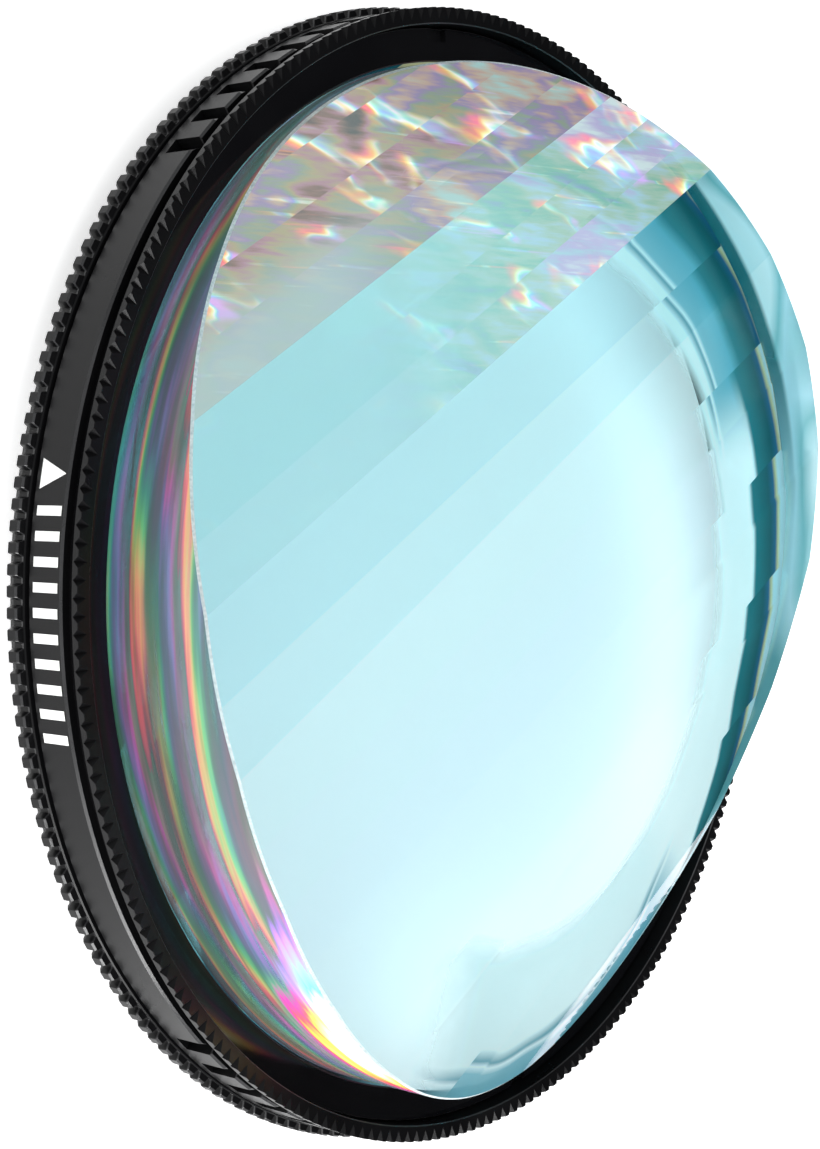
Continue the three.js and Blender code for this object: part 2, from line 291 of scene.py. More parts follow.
class Nodes:
    """Short names for adding nodes to one material."""

    def __init__(self, name):
        self.material = bpy.data.materials.new(name)
        self.material.use_nodes = True
        self.tree = self.material.node_tree
        self.shader = self.tree.nodes["Principled BSDF"]
        self.output = self.tree.nodes["Material Output"]

    def add(self, kind, **settings):
        node = self.tree.nodes.new(kind)
        for key, value in settings.items():
            setattr(node, key, value)
        return node

    def link(self, source, target):
        self.tree.links.new(source, target)

    def feed(self, target, value):
        """Links a socket to an input, or sets the input to a plain value."""
        if isinstance(value, bpy.types.NodeSocket):
            self.link(value, target)
        else:
            target.default_value = value

    def set(self, **values):
        """Feeds inputs of the material's own shader, with _ for each space in their names."""
        for name, value in values.items():
            self.feed(self.shader.inputs[name.replace("_", " ")], value)

    def math(self, operation, *values, clamp=False):
        node = self.add("ShaderNodeMath", operation=operation, use_clamp=clamp)
        for socket, value in zip(node.inputs, values):
            self.feed(socket, value)
        return node.outputs[0]

    def plus(self, first, second, clamp=False):
        return self.math("ADD", first, second, clamp=clamp)

    def minus(self, first, second):
        return self.math("SUBTRACT", first, second)

    def over(self, first, second):
        return self.math("DIVIDE", first, second)

    def times(self, first, *others):
        """The product of two or more values."""
        product = first
        for other in others:
            product = self.math("MULTIPLY", product, other)
        return product

    def magnitude(self, value):
        return self.math("ABSOLUTE", value)

    def length(self, x, y):
        return self.math("SQRT", self.plus(self.math("POWER", x, 2.0), self.math("POWER", y, 2.0)))

    def place(self):
        """Object-space position in millimetres: the vector and its three parts."""
        coordinates = self.add("ShaderNodeTexCoord").outputs["Object"]
        scaled = self.add("ShaderNodeVectorMath", operation="SCALE")
        self.link(coordinates, scaled.inputs[0])
        scaled.inputs["Scale"].default_value = 1 / MM
        parts = self.add("ShaderNodeSeparateXYZ")
        self.link(scaled.outputs[0], parts.inputs[0])
        return scaled.outputs[0], parts.outputs[0], parts.outputs[1], parts.outputs[2]

    def vector(self, *parts):
        """A vector of three parts. Each is a value, or a value with the factor that it is stretched by."""
        node = self.add("ShaderNodeCombineXYZ")
        for socket, part in zip(node.inputs, parts):
            self.feed(socket, self.times(*part) if isinstance(part, tuple) else part)
        return node.outputs[0]

    def noise(self, vector, scale=1.0, detail=3.0, rough=0.5, distortion=0.0):
        node = self.add("ShaderNodeTexNoise")
        self.link(vector, node.inputs["Vector"])
        node.inputs["Scale"].default_value = scale
        node.inputs["Detail"].default_value = detail
        node.inputs["Roughness"].default_value = rough
        node.inputs["Distortion"].default_value = distortion
        return node.outputs["Fac"]

    def step(self, value, low, high, to_low=0.0, to_high=1.0):
        """A smooth change from to_low to to_high as a value goes from low to high. Low may be the larger."""
        node = self.add("ShaderNodeMapRange", interpolation_type="SMOOTHSTEP")
        for socket, number in zip(node.inputs, (value, low, high, to_low, to_high)):
            self.feed(socket, number)
        return node.outputs[0]

    def ramp(self, value, stops, interpolation="LINEAR"):
        """A colour ramp of (position, colour) stops."""
        node = self.add("ShaderNodeValToRGB")
        node.color_ramp.interpolation = interpolation
        elements = node.color_ramp.elements
        while len(elements) < len(stops):
            elements.new(1.0)
        for element, (position, colour) in zip(elements, stops):
            element.position = position
            element.color = (*colour, 1.0)
        self.feed(node.inputs[0], value)
        return node.outputs[0]

    def two_tone(self, value, dark, light, span=TONE_SPAN):
        """A ramp from one colour to another."""
        return self.ramp(value, list(zip(span, (dark, light))))

    def finish_between(self, value, smooth, rough):
        """A roughness that follows a noise."""
        return self.step(value, *ROUGH_SPAN, smooth, rough)

    def mix_colour(self, factor, first, second, blend="MIX"):
        """A mix of two colours, each a socket or three numbers."""
        node = self.add("ShaderNodeMix", data_type="RGBA", blend_type=blend)
        self.feed(node.inputs[0], factor)
        for socket, colour in ((node.inputs[6], first), (node.inputs[7], second)):
            self.feed(socket, (*colour, 1.0) if isinstance(colour, tuple) else colour)
        return node.outputs[2]

    def mix_shader(self, share, first, second):
        node = self.add("ShaderNodeMixShader")
        for socket, source in zip(node.inputs, (share, first, second)):
            self.link(source, socket)
        return node.outputs[0]

    def bump(self, height, strength, distance):
        """A bump of some millimetres."""
        node = self.add("ShaderNodeBump")
        node.inputs["Strength"].default_value = strength
        node.inputs["Distance"].default_value = distance * MM
        self.link(height, node.inputs["Height"])
        return node.outputs["Normal"]

    def self_lit(self, colour, glow, roughness):
        """A second shader, which also glows in its own colour."""
        shader = self.add("ShaderNodeBsdfPrincipled")
        self.link(colour, shader.inputs["Base Color"])
        self.link(colour, shader.inputs["Emission Color"])
        shader.inputs["Emission Strength"].default_value = glow
        shader.inputs["Roughness"].default_value = roughness
        return shader.outputs[0]


# ---- metal, plastic and paint ---------------------------------------------------------------------

def turned_metal(name, dark, light, roughness, lines, grain, gloss):
    """Anodised metal with the fine rings a lathe leaves and a faint etched grain."""
    cloud_share = 0.6
    roughness_spread = 0.18
    n = Nodes(name)
    place, x, y, z = n.place()
    rings = n.noise(n.vector(n.length(x, y), 0.0, z), scale=5.0, detail=6.0, rough=0.75)
    speckle = n.noise(place, scale=14.0, detail=2.0)
    cloud = n.noise(place, scale=0.16, detail=3.0)
    tone = n.plus(n.times(cloud, cloud_share), n.times(speckle, 1 - cloud_share))
    spread = n.times(n.minus(cloud, 0.5), roughness_spread)
    height = n.plus(n.times(rings, lines), n.times(speckle, grain))
    n.set(
        Base_Color=n.two_tone(tone, dark, light),
        Roughness=n.plus(spread, roughness, clamp=True),
        Normal=n.bump(height, strength=0.35, distance=0.02),
        Specular_IOR_Level=gloss,
    )
    return n.material


def spring_steel():
    """Bright drawn wire."""
    n = Nodes("spring_steel")
    _, x, y, z = n.place()
    drawn = n.noise(n.vector(n.length(x, y), z, 0.0), scale=18.0, detail=4.0)
    n.set(
        Base_Color=n.two_tone(drawn, (0.42, 0.43, 0.45), (0.62, 0.63, 0.65)),
        Roughness=n.finish_between(drawn, 0.22, 0.38),
        Metallic=1.0,
    )
    return n.material


def soft_black(name, dark, light, roughness):
    """Elastomer or filled plastic, with a fine pebble."""
    roughness_spread = 0.08
    n = Nodes(name)
    pebble = n.noise(n.place()[0], scale=6.0, detail=4.0, rough=0.6)
    n.set(
        Base_Color=n.two_tone(pebble, dark, light),
        Roughness=n.finish_between(pebble, roughness - roughness_spread, roughness + roughness_spread),
        Normal=n.bump(pebble, strength=0.3, distance=0.03),
    )
    return n.material


def paint_fill():
    """White fill of the index marks, a little worn where it is thin."""
    n = Nodes("paint_fill")
    place = n.place()[0]
    mottle = n.noise(place, scale=3.2, detail=4.0, rough=0.6)
    n.set(
        Base_Color=n.two_tone(mottle, (0.78, 0.78, 0.76), (0.93, 0.93, 0.92), span=(0.25, 0.6)),
        Roughness=n.finish_between(mottle, 0.42, 0.58),
        Normal=n.bump(n.noise(place, scale=9.0), strength=0.25, distance=0.01),
    )
    return n.material


# ---- colours of the glass, most of them painted light --------------------------------------------
# Each table lists (position, colour) stops of a ramp.

# Painted light: self-lit bands that run round the side wall near the marks.
SPECTRUM = [
    (0.00, (0.20, 0.09, 0.13)),
    (0.09, (0.52, 0.10, 0.12)),
    (0.16, (0.55, 0.24, 0.12)),
    (0.24, (0.36, 0.34, 0.12)),
    (0.34, (0.12, 0.36, 0.14)),
    (0.45, (0.07, 0.24, 0.19)),
    (0.56, (0.12, 0.14, 0.26)),
    (0.66, (0.20, 0.12, 0.32)),
    (0.76, (0.36, 0.09, 0.26)),
    (0.86, (0.20, 0.14, 0.15)),
    (1.00, (0.10, 0.16, 0.13)),
]

# Painted light: the glowing ground tones of the outer strips that lean towards +Y, and of the inner one.
MUTED = [
    (0.34, (0.09, 0.08, 0.07)),
    (0.39, (0.26, 0.15, 0.12)),
    (0.43, (0.44, 0.24, 0.30)),
    (0.47, (0.44, 0.38, 0.22)),
    (0.51, (0.30, 0.37, 0.28)),
    (0.55, (0.34, 0.27, 0.46)),
    (0.60, (0.56, 0.42, 0.34)),
    (0.67, (0.42, 0.66, 0.64)),
]

PALE = [
    (0.34, (0.16, 0.36, 0.34)),
    (0.40, (0.30, 0.42, 0.60)),
    (0.45, (0.26, 0.56, 0.44)),
    (0.50, (0.42, 0.62, 0.50)),
    (0.55, (0.44, 0.68, 0.80)),
    (0.60, (0.54, 0.50, 0.78)),
    (0.67, (0.72, 0.88, 0.90)),
]

# A bright flare on a strip breaks into colour from one end to the other.
FLARE = [
    (0.00, (0.95, 0.10, 0.12)),
    (0.22, (1.00, 0.42, 0.08)),
    (0.38, (1.00, 0.92, 0.35)),
    (0.50, (1.00, 1.00, 0.98)),
    (0.62, (0.35, 0.95, 0.80)),
    (0.78, (0.22, 0.45, 1.00)),
    (1.00, (0.62, 0.25, 0.90)),
]

# The one bright flare on the glass wall: its side towards the foot, and its end towards the marks.
WALL_FLARE_FOOT = [
    (0.00, (0.05, 0.12, 0.10)),
    (0.16, (0.10, 0.26, 0.16)),
    (0.28, (0.55, 0.05, 0.34)),
    (0.40, (0.88, 0.11, 0.12)),
    (0.50, (0.98, 0.60, 0.08)),
    (0.60, (1.00, 0.96, 0.38)),
    (0.72, (1.00, 1.00, 0.95)),
]

WALL_FLARE_END = [
    (0.00, (0.14, 0.10, 0.30)),
    (0.18, (0.36, 0.14, 0.75)),
    (0.34, (0.28, 0.32, 1.00)),
    (0.50, (0.10, 0.85, 1.00)),
    (0.68, (1.00, 1.00, 1.00)),
]

# Painted light: colours of the glass edge on the +X side, self-lit on the back, from the middle of the back
# outwards.
EDGE_ARCS = [
    (0.05, (0.76, 0.86, 0.88)),
    (0.12, (0.14, 0.34, 0.42)),
    (0.15, (0.74, 0.84, 0.88)),
    (0.19, (0.24, 0.48, 0.57)),
    (0.44, (0.12, 0.38, 0.48)),
    (0.56, (0.012, 0.17, 0.20)),
    (0.80, (0.002, 0.085, 0.10)),
    (0.88, (0.01, 0.10, 0.20)),
    (0.92, (0.50, 0.48, 0.26)),
    (0.96, (0.42, 0.62, 0.68)),
]

# Painted light: colours of the far side wall as seen from inside through the strips, self-lit on the wall.
FAR_WALL = [
    (0.34, (0.10, 0.30, 0.33)),
    (0.43, (0.30, 0.52, 0.57)),
    (0.50, (0.44, 0.65, 0.72)),
    (0.56, (0.20, 0.46, 0.50)),
    (0.64, (0.64, 0.78, 0.82)),
]

# Painted shade for each strip: a tint of its light, from the -Y side to the +Y side.
STRIP_PAINTED_SHADES = [
    (0.94, 0.95, 0.96),
    (0.94, 0.95, 0.96),
    (0.92, 0.93, 0.95),
    (0.87, 0.92, 0.95),
    (0.83, 0.88, 0.93),
    (0.81, 0.89, 0.91),
    (0.62, 0.80, 0.84),
    (0.50, 0.77, 0.80),
    (0.70, 0.78, 0.78),
    (0.70, 0.78, 0.78),
]


# ---- glass ----------------------------------------------------------------------------------------

class GlassPlace:
    """Where a point of the glass lies and which way it faces, as sockets that its looks are picked by."""

    def __init__(self, n):
        self.vector, self.x, self.y, self.z = n.place()
        normal = n.add("ShaderNodeSeparateXYZ")
        n.link(n.add("ShaderNodeNewGeometry").outputs["Normal"], normal.inputs[0])
        # 1 on a level face and 0 on the side wall.
        self.levelness = n.magnitude(normal.outputs[2])
        # Round the axis in radians: from -X, where the marks are, and from +X.
        self.angle = n.math("ARCTAN2", self.y, n.times(self.x, -1.0))
        self.from_marks = n.magnitude(self.angle)
        self.far_angle = n.math("ARCTAN2", self.y, self.x)
        self.radius = n.length(self.x, self.y)
        self.across = n.minus(
            n.times(self.y, math.cos(STRIP_TURN)),
            n.times(self.x, math.sin(STRIP_TURN)),
        )
        above_shoulder = n.step(self.z, GLASS_SHOULDER_TOP, GLASS_SHOULDER_TOP + 0.2)
        self.on_wall = n.times(n.step(self.levelness, 0.25, 0.1), above_shoulder)


def painted_strip_shade(n, across):
    """A painted shade for each strip: a colour by the distance across the strips, with hard borders."""
    borders = [0.0]
    for width in STRIP_WIDTHS[:-1]:
        borders.append(borders[-1] + width)
    lows = [-GLASS_SHOULDER, *[-border for border in reversed(borders[1:])], *borders]
    share = n.over(n.plus(across, GLASS_SHOULDER), 2 * GLASS_SHOULDER)
    stops = [((low / GLASS_SHOULDER + 1) / 2, tint) for low, tint in zip(lows, STRIP_PAINTED_SHADES)]
    return n.ramp(share, stops, "CONSTANT")


def clear_glass(n, at):
    """Cyan glass with a thin coating, with a painted shade tinting it strip by strip. Thicker glass is
    deeper in colour.
    """
    n.set(
        Base_Color=painted_strip_shade(n, at.across),
        Transmission_Weight=1.0,
        IOR=1.5,
        Roughness=0.0,
        Thin_Film_Thickness=380.0,
        Thin_Film_IOR=1.38,
    )
    absorb = n.add("ShaderNodeVolumeAbsorption")
    absorb.inputs["Color"].default_value = (0.12, 0.88, 0.95, 1.0)
    absorb.inputs["Density"].default_value = 18.0
    n.link(absorb.outputs[0], n.output.inputs["Volume"])
    return n.shader.outputs[0]


def wall_flare(n, at, fine):
    """The colour of the one bright flare by the wall's front edge, and how far inside it a point is."""
    angle = -0.86                 # of its middle, on the -Y side
    half_angle = 0.36
    edge_height = 21.3            # at the marks, of a line along the wall's front edge
    edge_fall = 5.7               # of that line towards -Y, in millimetres for each radian
    depth = 6.0
    raggedness = 0.9
    along = n.over(n.plus(at.angle, -angle), half_angle)
    edge = n.plus(n.times(at.angle, edge_fall), edge_height)
    below = n.over(n.minus(edge, at.z), depth)
    inside = n.minus(1.0, n.length(along, below))
    inside = n.plus(inside, n.times(n.minus(fine, 0.5), raggedness))
    towards_marks = n.step(n.minus(along, below), -0.15, 0.25)
    foot = n.ramp(inside, WALL_FLARE_FOOT)
    end = n.ramp(inside, WALL_FLARE_END)
    return n.mix_colour(towards_marks, foot, end), inside


def wall_bands(n, at, surface):
    """Self-lit bands of painted light that run round the side wall near the marks and drift across its
    height.
    """
    turns_for_height = 0.24       # turns of the spectrum for a millimetre, a radian or a whole noise
    turns_for_angle = 0.35
    turns_for_drift = 2.6
    turns_for_fine = 0.9
    grey = (0.50, 0.56, 0.53)
    dark = (0.07, 0.085, 0.08)
    round_wall = n.times(at.angle, 0.95)
    drift = n.noise(n.vector(round_wall, 0.0, (at.z, 0.06)), detail=2.0)
    fine = n.noise(n.vector((at.angle, 1.25), 0.0, (at.z, 0.9)))
    shade = n.noise(n.vector(round_wall, 3.0, (at.z, 0.4)), scale=1.3, rough=0.6)
    phase = n.plus(n.times(at.z, turns_for_height), n.times(drift, turns_for_drift))
    phase = n.plus(phase, n.times(at.angle, turns_for_angle))
    phase = n.math("FRACT", n.plus(phase, n.times(fine, turns_for_fine)))
    greyed = n.mix_colour(n.step(shade, 0.35, 0.62), n.ramp(phase, SPECTRUM), grey, "MULTIPLY")
    dimmed = n.mix_colour(n.step(shade, 0.42, 0.62, to_high=0.7), greyed, dark)
    flare, inside = wall_flare(n, at, fine)
    colour = n.mix_colour(n.step(inside, 0.02, 0.2), dimmed, flare)
    cover = n.step(fine, 0.3, 0.62, to_low=0.7, to_high=0.97)
    near_marks = n.step(at.from_marks, 1.9, 1.3)
    bands = n.self_lit(colour, glow=0.38, roughness=0.2)
    return n.mix_shader(n.times(at.on_wall, near_marks, cover), surface, bands)


def back_arcs(n, at, surface):
    """Painted light on the far part of the back: the deep edge colour, broken at each strip, with one soft
    white patch of painted reflection, all self-lit.
    """
    inner_radius = 27.2
    width = 11.8
    unevenness = 0.10
    white = (0.88, 0.93, 0.94)
    window_angle = -0.22
    cover = 0.94
    saw = n.minus(n.math("FRACT", n.over(at.across, STRIP_WIDTHS[0])), 0.5)
    waver = n.times(n.minus(n.noise(at.vector, scale=0.12, detail=1.0), 0.5), unevenness)
    outwards = n.over(n.minus(at.radius, inner_radius), width)
    outwards = n.plus(outwards, n.plus(n.times(saw, unevenness), waver))

    # The arcs thin out towards both ends.
    window_turn = n.step(n.magnitude(n.plus(at.far_angle, -window_angle)), 0.72, 0.50)
    narrowed = n.minus(outwards, n.step(at.far_angle, -0.15, -1.20, to_high=0.70))
    narrowed = n.minus(narrowed, n.step(at.far_angle, 0.10, 0.70, to_high=0.15))
    window = n.times(window_turn, n.step(narrowed, 0.58, 0.51))
    colour = n.mix_colour(window, n.ramp(narrowed, EDGE_ARCS), white)

    on_back = n.times(
        n.step(at.levelness, 0.9, 0.95),
        n.step(at.z, GLASS_BOTTOM + 0.1, GLASS_BOTTOM + 0.04),
    )
    away_from_marks = n.step(at.from_marks, 1.10, 1.40)
    on_arcs = n.times(n.step(outwards, -0.06, 0.14), cover)
    arcs = n.self_lit(colour, glow=0.6, roughness=0.15)
    return n.mix_shader(n.times(on_back, away_from_marks, on_arcs), surface, arcs)


def far_wall(n, at, surface):
    """Painted light: self-lit pale and mid cyan patches on the side wall opposite the marks, deep cyan near
    its foot at one end.
    """
    deep_cyan = (0.004, 0.12, 0.14)
    cover = 0.85
    patches = n.noise(n.vector((at.far_angle, 2.6), 0.0, (at.z, 0.05)), detail=0.0)
    near_foot = n.times(n.step(at.z, 10.6, 9.2), n.step(at.far_angle, 0.05, 0.50))
    colour = n.mix_colour(near_foot, n.ramp(patches, FAR_WALL), deep_cyan)
    far_side = n.step(at.from_marks, 1.75, 2.35)
    wall = n.self_lit(colour, glow=0.6, roughness=0.15)
    return n.mix_shader(n.times(at.on_wall, far_side, cover), surface, wall)


def ground_edges(n, at, surface):
    """Frosted chamfers, picked by their slant."""
    frost = n.add("ShaderNodeBsdfPrincipled")
    colour = n.two_tone(n.noise(at.vector, scale=5.0), (0.45, 0.55, 0.57), (0.85, 0.9, 0.9))
    n.link(colour, frost.inputs["Base Color"])
    frost.inputs["Roughness"].default_value = 0.35
    frost.inputs["Transmission Weight"].default_value = 0.35
    slanted = n.times(n.step(at.levelness, 0.35, 0.45), n.step(at.levelness, 0.88, 0.8))
    return n.mix_shader(slanted, surface, frost.outputs[0])


def strip_flares(n, at, pane):
    """Flares that break from red to violet along x, and thin sparks. Returns their colour and strength."""
    slant = n.times(n.plus(n.times(at.x, 0.25), at.y), 0.30)
    flare_layer = 4.0             # sets the flares' noise apart from the other ones
    reach = 1.3                   # millimetres to either side that the lean is measured over
    spread = 5.0

    def flare_at(shift):
        across_flare = n.times(n.plus(at.x, shift), 0.13)
        return n.noise(n.vector(across_flare, slant, n.plus(pane, flare_layer)), detail=2.0, distortion=0.4)

    flare = flare_at(0.0)
    lean = n.times(n.minus(flare_at(reach), flare_at(-reach)), spread)
    colour = n.ramp(n.minus(0.5, lean), FLARE)
    spark = n.noise(n.vector((at.x, 0.10), (at.y, 2.0), pane), detail=2.0)
    spark_strength = n.times(n.step(spark, 0.62, 0.76), 0.45)
    return colour, n.plus(n.step(flare, 0.545, 0.70), spark_strength, clamp=True)


def broken_spectra(n, at, on_outer):
    """Painted light: soft tones, streaks and flares that glow and break at every pane of the strips that
    lean towards +Y.
    """
    pane_width = 3.15
    pane_shift = 0.30
    soft_share = 0.72
    pale = (0.44, 0.58, 0.57)
    pale_cover = 0.85
    calm_loss = 0.7
    flare_mix = 0.55
    pane = n.times(n.math("FLOOR", n.over(at.across, pane_width)), pane_shift)
    soft = n.noise(n.vector((at.x, 0.07), (at.y, 0.12), pane), detail=2.0, distortion=0.8)
    streak = n.noise(n.vector((at.x, 0.16), (at.y, 1.1), pane), rough=0.6)
    tone = n.plus(n.times(soft, soft_share), n.times(streak, 1 - soft_share))
    ground = n.mix_colour(on_outer, n.ramp(tone, PALE), n.ramp(tone, MUTED))
    calm = n.times(n.step(at.x, -12.0, -25.0), n.step(at.across, 34.5, 30.0))
    ground = n.mix_colour(n.times(calm, pale_cover), ground, pale)
    colour, strength = strip_flares(n, at, pane)
    strength = n.times(strength, n.minus(1.0, n.times(calm, calm_loss)))
    return n.mix_colour(strength, ground, n.mix_colour(flare_mix, colour, ground, "ADD"))


def painted_strip_spectra(n, at, surface):
    """Painted light broken into colour, glowing on the front of the strips that lean towards +Y."""
    outer_cover = 0.8
    on_outer = n.math("GREATER_THAN", at.across, sum(STRIP_WIDTHS[:3]))
    on_inner = n.math("GREATER_THAN", at.across, sum(STRIP_WIDTHS[:2]))
    light = n.add("ShaderNodeEmission")
    n.link(broken_spectra(n, at, on_outer), light.inputs["Color"])
    front = n.times(
        n.step(at.levelness, 0.86, 0.9),
        n.step(at.z, GLASS_SHOULDER_TOP, GLASS_SHOULDER_TOP + 1.0),
    )
    inner_share = n.times(on_inner, n.step(at.x, -24.0, 2.0, to_low=0.12, to_high=0.8))
    share = n.math("MAXIMUM", n.times(on_outer, outer_cover), inner_share)
    return n.mix_shader(n.times(front, share), surface, light.outputs[0])


def coated_glass_with_painted_light():
    """One glass whose regions are picked by place and facing, each layered over the last; most layers are
    painted shade and self-lit painted light.
    """
    n = Nodes("coated_glass_with_painted_light")
    at = GlassPlace(n)
    surface = clear_glass(n, at)
    for layer in (wall_bands, back_arcs, far_wall, ground_edges, painted_strip_spectra):
        surface = layer(n, at, surface)
    n.link(surface, n.output.inputs["Surface"])
    return n.material


BLACK = turned_metal(
    "anodised_black",
    dark=(0.003, 0.003, 0.0035),
    light=(0.006, 0.006, 0.0065),
    roughness=0.30,
    lines=0.5,
    grain=0.5,
    gloss=0.16,
)
# Painted edge highlight: the chamfers and eases are anodised lighter and glossier than the rest.
BLACK_EDGE_HIGHLIGHT = turned_metal(
    "anodised_edge_highlight",
    dark=(0.018, 0.018, 0.019),
    light=(0.045, 0.045, 0.047),
    roughness=0.28,
    lines=0.3,
    grain=0.6,
    gloss=0.4,
)
BEZEL = turned_metal(
    "anodised_bezel",
    dark=(0.003, 0.003, 0.004),
    light=(0.006, 0.006, 0.007),
    roughness=0.10,
    lines=0.2,
    grain=0.1,
    gloss=0.4,
)
STEEL = spring_steel()
WASHER = soft_black("slip_plastic", dark=(0.03, 0.03, 0.032), light=(0.06, 0.06, 0.063), roughness=0.5)
SEAL = soft_black("elastomer", dark=(0.012, 0.012, 0.012), light=(0.028, 0.028, 0.028), roughness=0.8)
PAINT = paint_fill()
GLASS = coated_glass_with_painted_light()


# ---- front ring -----------------------------------------------------------------------------------

def grip_notches():
    """The corner angles of every grip notch: floor end, wall foot and wall top. The floor ends away from
    the middle of the zone."""
    corners = (GRIP_FLOOR_END, -GRIP_WALL_FOOT, -GRIP_WALL_TOP)
    notches = []
    for zone in GRIP_ZONES:
        for k in range(GRIP_PER_ZONE):
            offset = (k - (GRIP_PER_ZONE - 1) / 2) * GRIP_PITCH
            side = math.copysign(1.0, offset)
            notches.append([math.radians(zone + offset + side * c * GRIP_HALF_SPREAD) for c in corners])
    return notches


GRIPS = grip_notches()


def grip_depth(angle):
    """How deep the grip notches cut the band at an angle."""
    for floor_end, foot, wall_top in GRIPS:
        span = turned_by(floor_end, foot)
        share = turned_by(angle, foot) / span
        if 0 <= share <= 1:
            return GRIP_DEPTH * (1 - share)
        lean = turned_by(wall_top, foot) / span
        if lean < share < 0:
            return GRIP_DEPTH * (1 - share / lean)
    return 0.0


def lip_height(radius):
    """Height of the lip's sloping face at a radius."""
    return LIP_INNER + (radius - CELL_BORE) * LIP_SLOPE


def front_ring_profile(angle):
    """The front ring's outline at an angle, cut by the grip notches and the fine notches there."""
    grip = BAND_RADIUS - grip_depth(angle)
    behind_chamfer = min(grip, BAND_RADIUS - BAND_CHAMFER)
    from_notch = turned_by(angle, round(angle / FINE_PITCH) * FINE_PITCH)
    depth = max(0.0, 1 - abs(from_notch) / FINE_HALF_ANGLE)
    on_wall = LIP_RIDGE - RIDGE_ROUND - FINE_DEPTH_ON_WALL * depth
    on_face = BAND_RADIUS - RIDGE_ROUND - FINE_DEPTH_ON_FACE * depth
    eased_bore = CELL_BORE + LIP_EASE_ON_FACE
    return [
        (COUNTERBORE, BAND_BOTTOM),
        (BAND_RADIUS - BAND_CHAMFER, BAND_BOTTOM),
        (BAND_RADIUS, BAND_BOTTOM + BAND_CHAMFER),
        (BAND_RADIUS, GRIP_REAR_END - GRIP_REAR_STEP),
        (grip, GRIP_REAR_END),
        (grip, BAND_TOP - BAND_CHAMFER),
        (behind_chamfer, BAND_TOP),
        (UNDERCUT_RADIUS, BAND_TOP),
        (UNDERCUT_RADIUS, UNDERCUT_TOP),
        (BAND_RADIUS - UNDERCUT_EASE, UNDERCUT_TOP),
        (BAND_RADIUS, UNDERCUT_TOP + UNDERCUT_EASE),
        (BAND_RADIUS, on_wall),
        (on_face, lip_height(on_face)),
        (eased_bore, lip_height(eased_bore)),
        (CELL_BORE, LIP_INNER - LIP_EASE_IN_BORE),
        (CELL_BORE, SHELF_TOP),
        (SHELF_BORE, SHELF_TOP),
        (SHELF_BORE, SHELF_BOTTOM),
        (COUNTERBORE, SHELF_BOTTOM),
    ]


def front_ring():
    fine = []
    for k in range(FINE_NOTCHES):
        middle = k * FINE_PITCH
        fine.extend((middle - FINE_HALF_ANGLE, middle, middle + FINE_HALF_ANGLE, middle + FINE_PITCH / 2))
    corners = [corner for notch in GRIPS for corner in notch]
    # The edges are the two chamfers of the band, then the eases of the undercut and of the lip's bore.
    ring = swept_ring(
        "front_ring",
        merged_angles(fine, corners),
        front_ring_profile,
        [BLACK, BLACK_EDGE_HIGHLIGHT],
        edge_rows=(1, 5, 9, 13),
        crease=NOTCH_CREASE,
    )
    finish_piece(ring, "front_body", "black_anodised", "rotating_frame")


# ---- rear ring ------------------------------------------------------------------------------------

def tooth_height(angle):
    """How high the tooth stands at an angle, from 0 in the valley to 1 on the land."""
    share = abs(turned_by(angle, round(angle / TOOTH_PITCH) * TOOTH_PITCH)) / TOOTH_PITCH
    for (near, high), (far, low) in zip(TOOTH_SHAPE, TOOTH_SHAPE[1:]):
        if share <= far:
            return high + (low - high) * (share - near) / (far - near)
    return 0.0


def mount_ring_profile(angle):
    """The rear ring's outline at an angle, through its coarse teeth."""
    tip = TOOTH_ROOT + (TOOTH_TIP - TOOTH_ROOT) * tooth_height(angle)
    shoulder = max(TOOTH_ROOT, tip - TOOTH_CHAMFER)
    rear_shoulder = max(TOOTH_ROOT, tip - TOOTH_REAR_CHAMFER)
    ridges = []
    for turn in range(THREAD_TURNS):
        start = turn * THREAD_PITCH
        for radius, span in ((THREAD_CREST, THREAD_CREST_SPAN), (THREAD_ROOT, THREAD_ROOT_SPAN)):
            ridges.extend((radius, start + share * THREAD_PITCH) for share in span)
    groove_floor = SPIGOT - WIRE_GROOVE_DEPTH
    relief_top = FLANGE_BOTTOM + SEAT_RELIEF_DEPTH
    return [
        (MOUNT_BORE, 0.0),
        (THREAD_ROOT, 0.0),
        *ridges,
        (THREAD_ROOT, relief_top),
        (SEAT_RELIEF_RADIUS, relief_top),
        (SEAT_RELIEF_RADIUS, FLANGE_BOTTOM),
        (TOOTH_ROOT - FLANGE_EASE, FLANGE_BOTTOM),
        (TOOTH_ROOT, FLANGE_BOTTOM + FLANGE_EASE),
        (rear_shoulder, TOOTH_BOTTOM),
        (tip, TOOTH_BOTTOM + TOOTH_REAR_CHAMFER),
        (tip, TOOTH_TOP - TOOTH_CHAMFER),
        (shoulder, TOOTH_TOP),
        (TOOTH_ROOT, TOOTH_TOP + FLANGE_CROWN),
        (TOOTH_ROOT - FLANGE_EASE, FLANGE_TOP),
        (SPIGOT, FLANGE_TOP),
        (SPIGOT, WIRE_GROOVE_MOUTH[0]),
        (groove_floor, WIRE_GROOVE_FLOOR[0]),
        (groove_floor, WIRE_GROOVE_FLOOR[1]),
        (SPIGOT, WIRE_GROOVE_MOUTH[1]),
        (SPIGOT, SPIGOT_TOP - SPIGOT_EASE),
        (SPIGOT - SPIGOT_EASE, SPIGOT_TOP),
        (MOUNT_BORE, SPIGOT_TOP),
    ]


